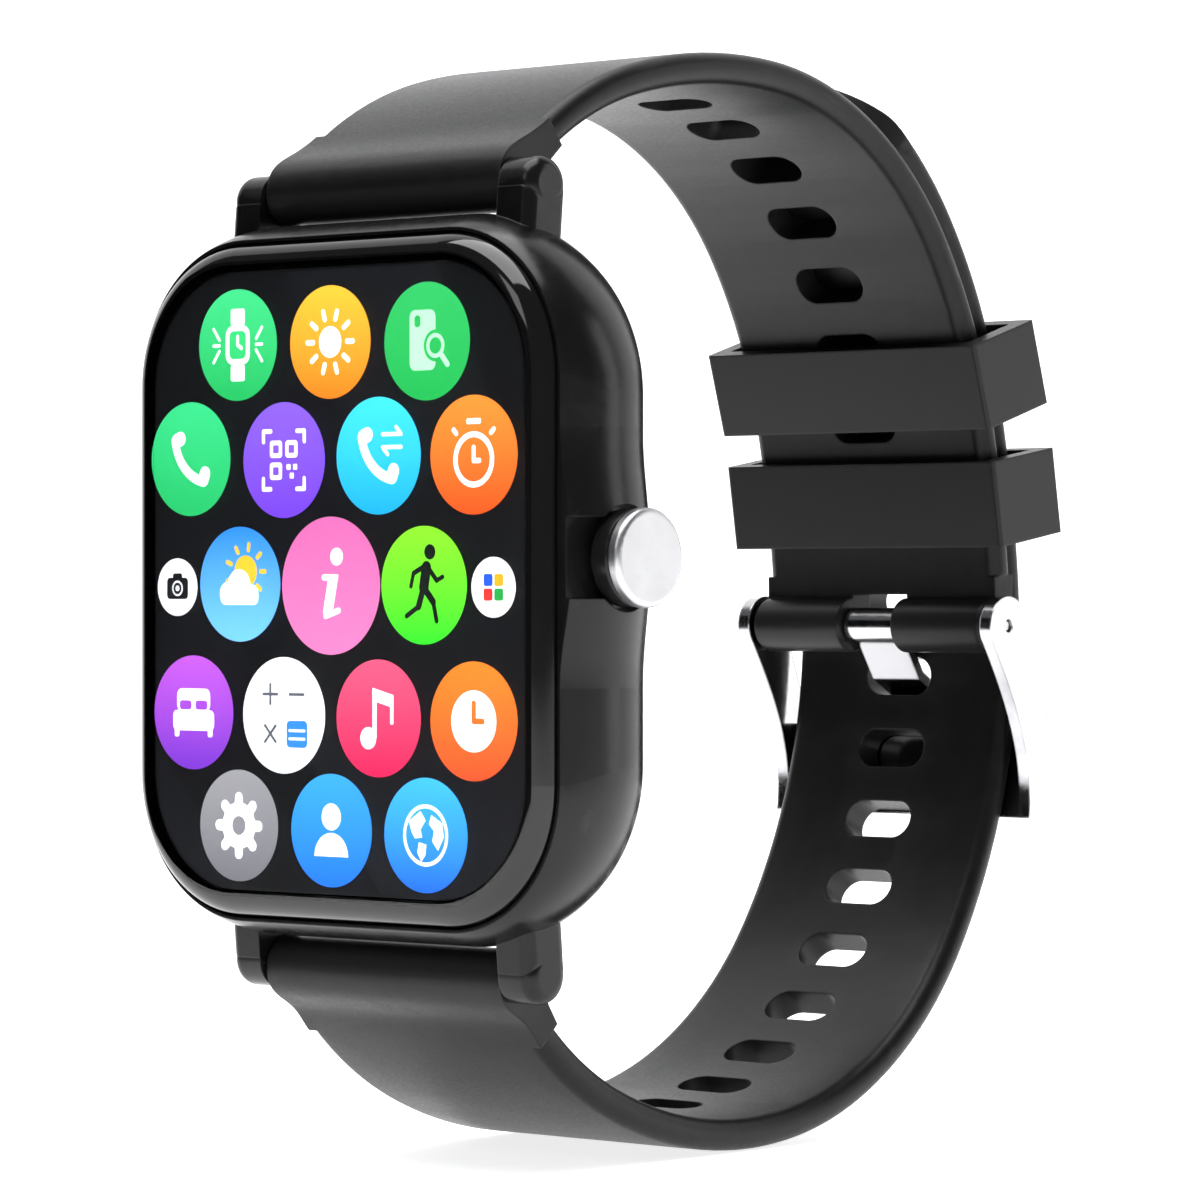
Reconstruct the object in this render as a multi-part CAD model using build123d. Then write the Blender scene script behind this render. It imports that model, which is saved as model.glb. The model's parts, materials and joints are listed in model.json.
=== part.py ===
from build123d import *
import math
import os

# Smartwatch on a buckled silicone strap, in millimetres.
# +X is the crown side, -Y is where the display faces, +Y is towards the wrist, +Z is 12 o'clock.
# The origin is the middle of the flat case back.

# ---------------------------------------------------------------- driving dimensions
STRAP_WIDTH = 20.0          # standard 20 mm lugs
TAIL_WIDTH = 18.4           # the tail runs inside the buckle and the keepers
STRAP_THICK = 2.0
STRAP_GAP = 0.12            # between the upper strap and the tail outside it
EDGE_ROUND = 0.95

# Wrist side of the strap loop, as clockwise tangent arcs (radius, turn in degrees).
UPPER_START = (-0.2, 26.46)
UPPER_HEADING = 35.9
UPPER_ARCS = [(23.7, 20.8), (36.8, 20.1), (21.6, 50.1), (31.5, 20.6), (76.3, 8.8)]
LOWER_ARCS = [(36.5, 18.6), (36.9, 21.1), (23.9, 47.6), (29.7, 33.0), (21.7, 20.5)]
TIP_HEADING = -22.0         # where the tail ends, by the direction of the loop there

SLOT_LENGTH = 5.6
SLOT_HEIGHT = 2.6
SLOT_PITCH = 5.0
UPPER_SLOT_FIRST = 22.9     # along the upper arcs
UPPER_SLOT_COUNT = 7
PRONG_SLOT = 7.0            # along the lower arcs
LOWER_SLOTS_BEFORE = 1
LOWER_SLOTS_AFTER = 8

# Case sections from the front seam to the back: depth y, half width, half height, corner, bump.
CASE_SECTIONS = [
    (-9.0, 17.87, 21.1, 9.0, 1.00),
    (-7.6, 18.45, 21.75, 9.9, 1.05),
    (-5.2, 18.75, 22.1, 10.8, 1.00),
    (-2.6, 18.2, 21.5, 10.4, 0.85),
    (0.0, 16.3, 19.9, 9.0, 0.30),
]
CASE_FRONT = -9.0
GLASS_TOP = -10.2
GLASS_SEAT = -8.3
BUMP_REACH = 7.7            # the crown guard fades out this far above and below the crown

CROWN_Y = -4.7
CROWN_Z = 1.3
CROWN_RADIUS = 2.95
SHAFT_RADIUS = 0.75

BAR_Y = -3.8                # spring bars between the lugs
BAR_Z = 24.2
BARREL_RADIUS = 1.95
LUG_INNER = 10.2
LUG_WIDTH = 2.6
TUBE_RADIUS = 0.75
PIN_RADIUS = 0.4
FIT = 0.05                  # radial play of a running fit

BUCKLE_Y = 42.9             # spring bar of the buckle
BUCKLE_Z = -2.95
BUCKLE_BARREL = 1.85
EAR_INNER = 10.1
EAR_THICK = 0.95
TONGUE_WIDTH = 4.0

KEEPER_WIDTH = 23.3
KEEPER_DEPTH = 6.8
KEEPER_HEIGHT = 5.75
KEEPER_INNER = (20.8, 4.7)
KEEPER_STATIONS = {"keeper_1": 50.3, "keeper_2": 58.4}

SCREW_X = 12.2
SCREW_Z = 15.4

# Centres (x, z) of the parts inside the case that others line up with.
BATTERY = (-3.2, -3.6)
SPEAKER = (2.5, -15.4)
SHIELD = (-5.2, 10.8)
MOTOR = (7.6, 10.6)

SPRING_COIL = 0.38          # coil springs of the spring bars
SPRING_WIRE = 0.11
SPRING_TURNS = 16

parts = {}


# ---------------------------------------------------------------- the strap loop
def arc_end(y, z, heading, radius, turn):
    """Follow a clockwise arc in the YZ plane and return the new point and heading."""
    after = heading - turn
    y += radius * (math.sin(heading) - math.sin(after))
    z -= radius * (math.cos(heading) - math.cos(after))
    return y, z, after


class ArcPath:
    """Clockwise tangent arcs in the YZ plane, measured by length along them."""

    def __init__(self, start, heading_deg, arcs):
        self.joints = [(*start, math.radians(heading_deg))]
        self.arcs = [(radius, math.radians(turn)) for radius, turn in arcs]
        for radius, turn in self.arcs:
            self.joints.append(arc_end(*self.joints[-1], radius, turn))
        self.length = sum(radius * turn for radius, turn in self.arcs)

    def at(self, s):
        """Point (y, z) and heading at length s."""
        for joint, (radius, turn) in zip(self.joints, self.arcs):
            if s <= radius * turn + 1e-9:
                return arc_end(*joint, radius, s / radius)
            s -= radius * turn
        return self.joints[-1]

    def out(self, s, distance=0.0):
        """The point at length s, moved away from the wrist by a distance."""
        y, z, heading = self.at(s)
        return y - distance * math.sin(heading), z + distance * math.cos(heading)

    def section_plane(self, s):
        """Plane across the strap: x along X, -y away from the wrist."""
        y, z, heading = self.at(s)
        return Plane((0, y, z), x_dir=(1, 0, 0), z_dir=(0, math.cos(heading), math.sin(heading)))

    def face_plane(self, s):
        """Plane lying on the strap: x along X, its normal away from the wrist."""
        y, z, heading = self.at(s)
        return Plane((0, y, z), x_dir=(1, 0, 0), z_dir=(0, -math.sin(heading), math.cos(heading)))

    def wire(self):
        edges = []
        for joint, (radius, turn) in zip(self.joints, self.arcs):
            middle = arc_end(*joint, radius, turn / 2)
            end = arc_end(*joint, radius, turn)
            edges.append(ThreePointArc((0, *joint[:2]), (0, *middle[:2]), (0, *end[:2])))
        return Wire(edges)


upper_path = ArcPath(UPPER_START, UPPER_HEADING, UPPER_ARCS)
TAIL_OFFSET = STRAP_THICK + STRAP_GAP


def tail_arcs():
    """The arcs of the upper strap past the tip of the tail, moved out by one strap."""
    heading = UPPER_HEADING
    arcs = []
    for radius, turn in UPPER_ARCS:
        shown = min(turn, TIP_HEADING - (heading - turn))
        if shown > 0:
            arcs.append((radius + TAIL_OFFSET, shown))
        heading -= turn
    return arcs


def path_length_at(path, heading_deg):
    """Length along a path at which it reaches a heading."""
    wanted = math.radians(heading_deg)
    s = 0.0
    for (_, _, heading), (radius, turn) in zip(path.joints, path.arcs):
        if heading - turn <= wanted:
            return s + radius * (heading - wanted)
        s += radius * turn
    return path.length


TAIL_ARCS = tail_arcs()
tail_start = upper_path.out(path_length_at(upper_path, TIP_HEADING), TAIL_OFFSET)
lower_path = ArcPath(tail_start, TIP_HEADING, TAIL_ARCS + LOWER_ARCS)
TAIL_LENGTH = sum(radius * math.radians(turn) for radius, turn in TAIL_ARCS)


def strap_section(path, s, width):
    outline = RectangleRounded(width, STRAP_THICK, EDGE_ROUND)
    return path.section_plane(s) * Pos(0, -STRAP_THICK / 2) * outline


def swept_strap(path, widths):
    """Sweep the rounded strap section along a path; widths is a list of (length, width)."""
    sections = [strap_section(path, s, width) for s, width in widths]
    return sweep(sections, path=path.wire(), multisection=len(sections) > 1)


def slot_cutters(path, stations):
    slot = extrude(SlotOverall(SLOT_LENGTH, SLOT_HEIGHT), amount=STRAP_THICK + 1, both=True)
    return [path.face_plane(s) * slot for s in stations]


def strap_root(side, end_point, heading):
    """Barrel round the spring bar between the lugs, blended into the strap; side is +1 or -1."""
    centre = (BAR_Y, side * BAR_Z)
    outward = (-math.sin(heading), math.cos(heading))
    inner = end_point
    outer = (inner[0] + outward[0] * STRAP_THICK, inner[1] + outward[1] * STRAP_THICK)
    front = (BAR_Y - BARREL_RADIUS, centre[1])
    shoulder = (BAR_Y + 0.45, side * (BAR_Z + 2.7))
    along = (side * math.cos(heading), side * math.sin(heading))
    back = (BAR_Y + BARREL_RADIUS * math.cos(0.35), side * (BAR_Z + BARREL_RADIUS * math.sin(0.35)))
    top = Spline(front, shoulder, outer, tangents=[(0, side), along])
    sides = Polyline(outer, inner, back, centre, front)
    profile = make_face([top, sides]) + Pos(*centre) * Circle(BARREL_RADIUS)
    root = extrude(Plane.YZ * profile, amount=STRAP_WIDTH / 2, both=True)
    bore = Cylinder(TUBE_RADIUS + FIT, STRAP_WIDTH + 2, rotation=(0, 90, 0))
    return root, Pos(0, *centre) * bore


def upper_strap():
    root, bore = strap_root(1, UPPER_START, math.radians(UPPER_HEADING))
    strip = swept_strap(upper_path, [(0, STRAP_WIDTH)])
    end_in = upper_path.out(upper_path.length)
    end_out = upper_path.out(upper_path.length, STRAP_THICK)
    neck_profile = Polyline(
        end_in, end_out, (BUCKLE_Y + BUCKLE_BARREL - 0.02, BUCKLE_Z), (BUCKLE_Y, BUCKLE_Z), end_in
    )
    neck = extrude(Plane.YZ * make_face(neck_profile), amount=STRAP_WIDTH / 2 - 0.1, both=True)
    barrel = Pos(0, BUCKLE_Y, BUCKLE_Z) * Cylinder(
        BUCKLE_BARREL, STRAP_WIDTH - 0.1, rotation=(0, 90, 0)
    )
    barrel = fillet(barrel.edges().filter_by(GeomType.CIRCLE), 0.45)
    body = root + strip + neck + barrel
    body -= bore
    body -= Pos(0, BUCKLE_Y, BUCKLE_Z) * Cylinder(TUBE_RADIUS + FIT, 30, rotation=(0, 90, 0))
    notch_top = BUCKLE_Z + BUCKLE_BARREL + 0.25
    notch_height = 4.6
    body -= Pos(0, BUCKLE_Y, notch_top - notch_height / 2) * Box(4.75, 8, notch_height)
    stations = [UPPER_SLOT_FIRST + i * SLOT_PITCH for i in range(UPPER_SLOT_COUNT)]
    for cutter in slot_cutters(upper_path, stations):
        body -= cutter
    return body


def lower_widths():
    """The tail keeps its width to the buckle, then widens smoothly to the lugs."""
    taper_start = TAIL_LENGTH + PRONG_SLOT
    taper = lower_path.length - taper_start
    widths = [(0, TAIL_WIDTH), (taper_start / 2, TAIL_WIDTH)]
    for i in range(7):
        ease = (1 - math.cos(math.pi * i / 6)) / 2
        widths.append((taper_start + taper * i / 6, TAIL_WIDTH + (STRAP_WIDTH - TAIL_WIDTH) * ease))
    return widths


def lower_strap():
    y, z, heading = lower_path.joints[-1]
    root, bore = strap_root(-1, (y, z), heading)
    body = swept_strap(lower_path, lower_widths()) + root - bore
    first = TAIL_LENGTH + PRONG_SLOT - LOWER_SLOTS_BEFORE * SLOT_PITCH
    count = LOWER_SLOTS_BEFORE + 1 + LOWER_SLOTS_AFTER
    for cutter in slot_cutters(lower_path, [first + i * SLOT_PITCH for i in range(count)]):
        body -= cutter
    tip_radius = TAIL_WIDTH / 2
    tip_sheet = Pos(0, 8) * Rectangle(30, 16) - Circle(tip_radius)
    tip_cut = extrude(tip_sheet, amount=6, both=True)
    return body - lower_path.face_plane(tip_radius) * Rot(0, 0, 180) * tip_cut


# ---------------------------------------------------------------- case
def rounded_block(half_x, half_z, corner, y_from, y_to):
    """A block with rounded corners whose outline lies in XZ, from one depth to another."""
    outline = RectangleRounded(2 * half_x, 2 * half_z, corner)
    depth = abs(y_to - y_from)
    block = extrude(outline, amount=depth / 2, both=True)
    return Pos(0, (y_from + y_to) / 2, 0) * Rot(90, 0, 0) * block


def case_outline(y, half_x, half_z, corner, bump):
    """Closed outline at one depth: a rounded rectangle whose +X side swells round the crown."""
    fx = half_x - corner
    fz = half_z - corner
    k = corner * math.sqrt(0.5)
    low = CROWN_Z - BUMP_REACH
    high = CROWN_Z + BUMP_REACH

    def p(x, z):
        return (x, y, z)

    def corner_arc(sx, sz, start, end):
        return ThreePointArc(start, p(sx * (fx + k), sz * (fz + k)), end)

    swell = Spline(
        p(half_x, low),
        p(half_x + bump * 0.5, (low + CROWN_Z) / 2),
        p(half_x + bump, CROWN_Z),
        p(half_x + bump * 0.5, (high + CROWN_Z) / 2),
        p(half_x, high),
        tangents=[(0, 0, 1), (0, 0, 1)],
    )
    edges = [
        Line(p(-fx, -half_z), p(fx, -half_z)),
        corner_arc(1, -1, p(fx, -half_z), p(half_x, -fz)),
        Line(p(half_x, -fz), p(half_x, low)),
        swell,
        Line(p(half_x, high), p(half_x, fz)),
        corner_arc(1, 1, p(half_x, fz), p(fx, half_z)),
        Line(p(fx, half_z), p(-fx, half_z)),
        corner_arc(-1, 1, p(-fx, half_z), p(-half_x, fz)),
        Line(p(-half_x, fz), p(-half_x, -fz)),
        corner_arc(-1, -1, p(-half_x, -fz), p(-fx, -half_z)),
    ]
    return make_face(edges)


def lug(side_x, side_z):
    """A post that carries one end of a spring bar, rounded at its tip."""
    tip = (BAR_Y - 0.6, BAR_Z - 0.45)
    tip_radius = 1.72
    profile = Polyline((-6.5, 19.5), (-6.15, 23.6), tip, (-2.65, 23.6), (-3.0, 19.5), (-6.5, 19.5))
    face = make_face(profile) + Pos(*tip) * Circle(tip_radius)
    post = extrude(Plane.YZ * face, amount=LUG_WIDTH)
    outer = post.faces().sort_by(Axis.X)[-1].edges().filter_by(lambda e: e.center().Z > 20)
    post = fillet(outer, 0.8)
    hole = Pos(0, BAR_Y, BAR_Z) * Cylinder(PIN_RADIUS + FIT, 3, rotation=(0, 90, 0))
    post = Pos(LUG_INNER, 0, 0) * (post - hole)
    if side_z < 0:
        post = mirror(post, about=Plane.XY)
    if side_x < 0:
        post = mirror(post, about=Plane.YZ)
    return post


def screw_places():
    return [(sx * SCREW_X, sz * SCREW_Z) for sx in (1, -1) for sz in (1, -1)]


def along_y(radius, x, z, y_from, y_to):
    """A cylinder along Y."""
    length = y_to - y_from
    return Pos(x, (y_from + y_to) / 2, z) * Cylinder(radius, length, rotation=(90, 0, 0))


def along_x(radius, y, z, x_from, x_to):
    """A cylinder along X."""
    length = x_to - x_from
    return Pos((x_from + x_to) / 2, y, z) * Cylinder(radius, length, rotation=(0, 90, 0))


def screw_bosses(y_from, y_to):
    return Compound([along_y(1.6, x, z, y_from, y_to) for x, z in screw_places()])


def case_shell():
    body = loft([case_outline(*section) for section in CASE_SECTIONS])
    for side_x in (1, -1):
        for side_z in (1, -1):
            body += lug(side_x, side_z)
    for x, z in screw_places():
        body -= along_y(0.6, x, z, -4.0, 0.5)
    body -= rounded_block(17.65, 20.88, 8.8, CASE_FRONT - 1, GLASS_SEAT)
    cavity = rounded_block(15.9, 19.2, 7.4, GLASS_SEAT - 1, -1.6) - screw_bosses(-5.0, 0)
    body -= cavity
    body -= rounded_block(14.4, 17.9, 7.0, -2, 1) - screw_bosses(-3, 2)
    body -= rounded_block(15.4, 18.9, 8.0, -1.2, 1)
    body -= along_x(CROWN_RADIUS + 0.25, CROWN_Y, CROWN_Z, 18.35, 22)
    pocket = Pos(20.35, CROWN_Y - 2.5, CROWN_Z) * Box(4, 5, 4.8)
    pocket = fillet(pocket.edges().filter_by(Axis.X), 0.3)
    body -= pocket
    body -= along_x(1.5, CROWN_Y, CROWN_Z, 14, 19)
    return body


# ---------------------------------------------------------------- display stack
def cover_glass():
    body = rounded_block(17.55, 20.78, 8.7, GLASS_TOP, GLASS_SEAT - 0.17)
    body = fillet(body.faces().sort_by(Axis.Y)[0].edges(), 1.5)
    return body - rounded_block(15.95, 19.25, 7.3, -9.55, GLASS_SEAT)


def display_gasket():
    ring = rounded_block(17.5, 20.7, 8.6, GLASS_SEAT - 0.15, GLASS_SEAT - 0.02)
    return ring - rounded_block(16.2, 19.5, 7.5, GLASS_SEAT - 1, GLASS_SEAT + 1)


def display_flex():
    """Thin ribbon that folds from under the display, through the chassis, to the board's back."""
    line = Polyline((-7.75, -12.0), (-7.75, -17.4), (-6.08, -17.4), (-6.08, -15.5))
    ribbon = offset(line, amount=0.03)
    return extrude(Plane.YZ * make_face(ribbon), amount=4.2, both=True)


# ---------------------------------------------------------------- inside the case
def inner_chassis():
    """Plastic tray that holds the board and the battery."""
    body = rounded_block(15.7, 19.0, 7.2, -7.7, -1.75)
    body -= rounded_block(14.9, 18.2, 6.6, -7.1, -1)
    body -= Pos(0, -7.4, -4) * Box(20, 2, 18)
    body -= Pos(14.5, CROWN_Y, CROWN_Z) * Box(6, 4, 7)
    body -= Pos(0, -7.4, -17) * Box(11, 2, 2.6)
    for x, z in screw_places():
        body -= along_y(1.9, x, z, -5.3, 0)
    return body


def main_board():
    body = rounded_block(14.7, 18.0, 6.4, -6.9, -6.15)
    body -= Pos(0, -6.5, -17.4) * Box(11, 2, 1.6)
    return body - Pos(14, -6.5, CROWN_Z) * Box(3, 2, 7)


def board_chips():
    """Flash, sensor and charger chips outside the shield."""
    places = [(8.0, -2.5, 3.0, 4.0), (8.3, -8.0, 2.6, 2.6), (-9.0, -15.2, 2.4, 2.0), (1.5, 14.5, 2.0, 3.0)]
    return [Pos(x, -5.74, z) * Box(width, 0.8, height) for x, z, width, height in places]


def shield_can():
    x, z = SHIELD
    outer = Pos(x, -5.35, z) * Box(10.5, 1.5, 9.0)
    outer = fillet(outer.edges().filter_by(Axis.Y), 0.6)
    return outer - Pos(x, -5.6, z) * Box(9.9, 1.5, 8.4)


def battery_cell():
    x, z = BATTERY
    body = Pos(x, -4.15, z) * Box(17.5, 3.6, 17.0)
    return fillet(body.edges(), 0.5)


def battery_pad():
    """Adhesive foam between the battery and the board."""
    x, z = BATTERY
    return Pos(x, -6.05, z) * Box(14, 0.16, 13)


def speaker_box():
    x, z = SPEAKER
    body = Pos(x, -4.5, z) * Box(12.0, 3.0, 5.0)
    body = fillet(body.edges().filter_by(Axis.Y), 0.8)
    return body - Pos(x, -2.9, z) * Box(10.4, 0.6, 3.4)


def speaker_diaphragm():
    x, z = SPEAKER
    return Pos(x, -2.95, z) * Box(10.2, 0.12, 3.2)


def motor_can():
    body = along_y(4.1, *MOTOR, -6.05, -3.25)
    body -= along_y(3.8, *MOTOR, -5.75, -3.5)
    return body + along_y(0.4, *MOTOR, -5.9, -3.4)


def motor_rotor():
    """Half-round eccentric weight on the motor's pin."""
    disc = along_y(3.5, *MOTOR, -5.4, -3.9)
    half = disc & Pos(MOTOR[0], -4.65, MOTOR[1] - 2) * Box(8, 2, 4)
    return half + along_y(1.1, *MOTOR, -5.4, -3.9) - along_y(0.4 + FIT, *MOTOR, -7, -2)


# ---------------------------------------------------------------- case back
CONTACTS_X = (-2.0, 2.0)
CONTACTS_Z = -12.6
ISLAND_RADIUS = 11.0
WINDOW_RADIUS = 6.0


def rear_cover():
    body = rounded_block(15.3, 18.8, 7.9, -0.98, 0)
    body = fillet(body.faces().sort_by(Axis.Y)[-1].edges(), 0.35)
    island = Pos(0, 0.15, 0) * Cylinder(ISLAND_RADIUS, 0.9, rotation=(90, 0, 0))
    island = chamfer(island.faces().sort_by(Axis.Y)[-1].edges(), 0.4)
    body += island
    body -= along_y(WINDOW_RADIUS + 0.1, 0, 0, -3, 3)
    for x in CONTACTS_X:
        body -= along_y(0.95, x, CONTACTS_Z, -3, 3)
    for x, z in screw_places():
        body -= along_y(0.65, x, z, -3, 3)
        body -= along_y(1.25, x, z, -0.55, 3)
    return body


def rear_gasket():
    ring = rounded_block(15.25, 18.75, 7.85, -1.18, -1.0) - rounded_block(14.5, 18.0, 7.1, -2, 0)
    for x, z in screw_places():
        ring -= along_y(0.75, x, z, -3, 3)
    return ring


def sensor_window():
    """Clear domed window over the optical sensor."""
    disc = along_y(WINDOW_RADIUS, 0, 0, -0.9, 0.6)
    dome_radius = (WINDOW_RADIUS ** 2 + 0.5 ** 2) / (2 * 0.5)
    dome = Pos(0, 1.1 - dome_radius, 0) * Sphere(dome_radius)
    dome &= along_y(WINDOW_RADIUS, 0, 0, 0.55, 2)
    return disc + dome


def sensor_board():
    return along_y(7.0, 0, 0, -1.75, -1.3)


def sensor_leds():
    """Light sources and detectors of the pulse sensor."""
    pair = [Pos(x, -1.08, 0) * Box(1.6, 0.36, 1.6) for x in (-1.3, 1.3)]
    eyes = [Pos(0, -1.08, z) * Box(2.4, 0.36, 1.6) for z in (-3.2, 3.2)]
    return pair + eyes


def charging_contacts():
    return [along_y(0.9, x, CONTACTS_Z, -1.9, 0.04) for x in CONTACTS_X]


def charging_magnets():
    return [along_y(1.5, x, CONTACTS_Z, -2.2, -1.15) for x in (-6.5, 6.5)]


def rear_screws():
    """Cross-head screws from the cover into the case's bosses."""
    screws = []
    for x, z in screw_places():
        screw = along_y(1.15, x, z, -0.5, -0.05) + along_y(0.55, x, z, -3.6, -0.4)
        screw -= Pos(x, -0.05, z) * Box(1.5, 0.36, 0.3)
        screw -= Pos(x, -0.05, z) * Box(0.3, 0.36, 1.5)
        screws.append(screw)
    return screws


# ---------------------------------------------------------------- crown
def crown_cap():
    body = along_x(CROWN_RADIUS, CROWN_Y, CROWN_Z, 20.3, 21.2)
    body = fillet(body.faces().sort_by(Axis.X)[-1].edges(), 0.35)
    body = chamfer(body.faces().sort_by(Axis.X)[0].edges(), 0.15)
    body += along_x(1.5, CROWN_Y, CROWN_Z, 19.3, 20.4)
    return body - along_x(SHAFT_RADIUS + FIT, CROWN_Y, CROWN_Z, 19, 20.7)


def crown_ring():
    body = along_x(CROWN_RADIUS - 0.05, CROWN_Y, CROWN_Z, 18.95, 20.27)
    body = chamfer(body.edges().filter_by(GeomType.CIRCLE), 0.12)
    body -= along_x(1.52, CROWN_Y, CROWN_Z, 19.25, 21)
    return body - along_x(SHAFT_RADIUS + FIT, CROWN_Y, CROWN_Z, 18, 20)


def crown_shaft():
    body = along_x(SHAFT_RADIUS, CROWN_Y, CROWN_Z, 14.2, 20.65)
    groove = along_x(SHAFT_RADIUS + 1, CROWN_Y, CROWN_Z, 15.15, 15.5)
    return body - (groove - along_x(0.5, CROWN_Y, CROWN_Z, 15, 16))


def crown_clip():
    """Split washer in the groove at the inner end of the shaft."""
    body = along_x(1.25, CROWN_Y, CROWN_Z, 15.2, 15.45) - along_x(0.52, CROWN_Y, CROWN_Z, 15, 16)
    return body - Pos(15.3, CROWN_Y, CROWN_Z - 1) * Box(1, 0.8, 2)


def crown_bushing():
    body = along_x(1.48, CROWN_Y, CROWN_Z, 15.6, 18.3)
    body -= along_x(SHAFT_RADIUS + FIT, CROWN_Y, CROWN_Z, 15, 19)
    return body - along_x(1.3, CROWN_Y, CROWN_Z, 17.4, 19)


def crown_oring():
    ring = Torus(1.03, 0.24)
    return Pos(17.75, CROWN_Y, CROWN_Z) * Rot(0, 90, 0) * ring


def switch_body():
    """Tactile switch that the crown's shaft presses."""
    body = Pos(12.55, CROWN_Y - 0.1, CROWN_Z) * Box(2.0, 2.6, 4.0)
    return body - along_x(0.65, CROWN_Y, CROWN_Z, 12.2, 14)


def switch_button():
    return along_x(0.6, CROWN_Y, CROWN_Z, 12.75, 14.17)


# ---------------------------------------------------------------- spring bars
def bar_tube(y, z, half_length):
    tube = along_x(TUBE_RADIUS, y, z, -half_length, half_length)
    tube -= along_x(0.55, y, z, 0.4 - half_length, half_length - 0.4)
    return tube - along_x(PIN_RADIUS + FIT, y, z, -20, 20)


def bar_tip(y, z, half_length, reach):
    """Sprung end on the +X side, held in the tube by its head."""
    tip = along_x(PIN_RADIUS, y, z, half_length - 1.2, reach)
    tip = chamfer(tip.edges().group_by(Axis.X)[-1], 0.1)
    return tip + along_x(0.5, y, z, half_length - 1.2, half_length - 0.5)


def bar_spring(y, z, half_length):
    """Coil spring between the two tips."""
    length = 2 * (half_length - 1.3)
    coil = Helix(pitch=length / SPRING_TURNS, height=length, radius=SPRING_COIL)
    start = coil @ 0
    wire = sweep(Plane(start, z_dir=coil % 0) * Circle(SPRING_WIRE), path=coil)
    return Pos(-length / 2, y, z) * Rot(0, 90, 0) * wire


def add_spring_bar(name, y, z, half_length, reach):
    tip = bar_tip(y, z, half_length, reach)
    parts[f"{name}_bar_tube"] = bar_tube(y, z, half_length)
    parts[f"{name}_bar_spring"] = bar_spring(y, z, half_length)
    parts[f"{name}_bar_tip_right"] = tip
    parts[f"{name}_bar_tip_left"] = mirror(tip, about=Plane.YZ)


# ---------------------------------------------------------------- keepers and buckle
def keeper(station):
    """Square loop round both straps."""
    loop = Box(KEEPER_WIDTH, KEEPER_HEIGHT, KEEPER_DEPTH) - Box(
        KEEPER_INNER[0], KEEPER_HEIGHT + 2, KEEPER_INNER[1]
    )
    loop = fillet(loop.edges().filter_by(Axis.Y), 0.25)
    return upper_path.face_plane(station) * Pos(0, 0, STRAP_THICK + STRAP_GAP / 2) * loop


# Side view of the buckle: corner of the arm, lower end of the crossbar, and its wrist side.
ARM_CORNER = (47.6, -10.0)
BAR_END = (46.3, -15.9)
BAR_INSIDE = [(45.12, -15.9), (46.15, -12.5), (46.62, -9.9)]


def buckle_frame():
    head = Pos(BUCKLE_Y, BUCKLE_Z) * Circle(1.97)
    outer = [(BUCKLE_Y + 1.3, BUCKLE_Z + 1.48), (45.9, -5.6), ARM_CORNER, BAR_END, BAR_INSIDE[0]]
    inner = Spline(BAR_INSIDE[0], (44.75, -11.0), (43.2, -7.3), (BUCKLE_Y - 1.75, BUCKLE_Z - 0.9))
    close = Line((BUCKLE_Y - 1.75, BUCKLE_Z - 0.9), outer[0])
    side = make_face([Polyline(*outer), inner, close]) + head
    arm = extrude(Plane.YZ * side, amount=EAR_THICK)
    crossbar_face = make_face(Polyline(ARM_CORNER, BAR_END, *BAR_INSIDE, ARM_CORNER))
    crossbar = extrude(Plane.YZ * crossbar_face, amount=EAR_INNER + 0.2, both=True)
    right = Pos(EAR_INNER, 0, 0) * arm
    body = right + mirror(right, about=Plane.YZ) + crossbar
    corners = body.edges().filter_by(
        lambda e: abs(abs(e.center().X) - EAR_INNER - EAR_THICK) < 0.01
        and abs(e.center().Y - (ARM_CORNER[0] + BAR_END[0]) / 2) < 0.05
    )
    body = fillet(corners, 0.8)
    return body - Pos(0, BUCKLE_Y, BUCKLE_Z) * Cylinder(PIN_RADIUS + FIT, 30, rotation=(0, 90, 0))


TONGUE_LINE = [(43.1, -3.6), (44.9, -6.4), (47.15, -7.7), (48.12, -9.8), (47.2, -14.2)]
TONGUE_THICK = 0.7


def buckle_tongue():
    barrel = Pos(0, BUCKLE_Y, BUCKLE_Z) * Cylinder(1.2, TONGUE_WIDTH + 0.4, rotation=(0, 90, 0))
    outline = offset(Polyline(*TONGUE_LINE), amount=TONGUE_THICK / 2)
    blade = extrude(Plane.YZ * make_face(outline), amount=TONGUE_WIDTH / 2, both=True)
    body = barrel + blade
    return body - Pos(0, BUCKLE_Y, BUCKLE_Z) * Cylinder(TUBE_RADIUS + FIT, 9, rotation=(0, 90, 0))


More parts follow.
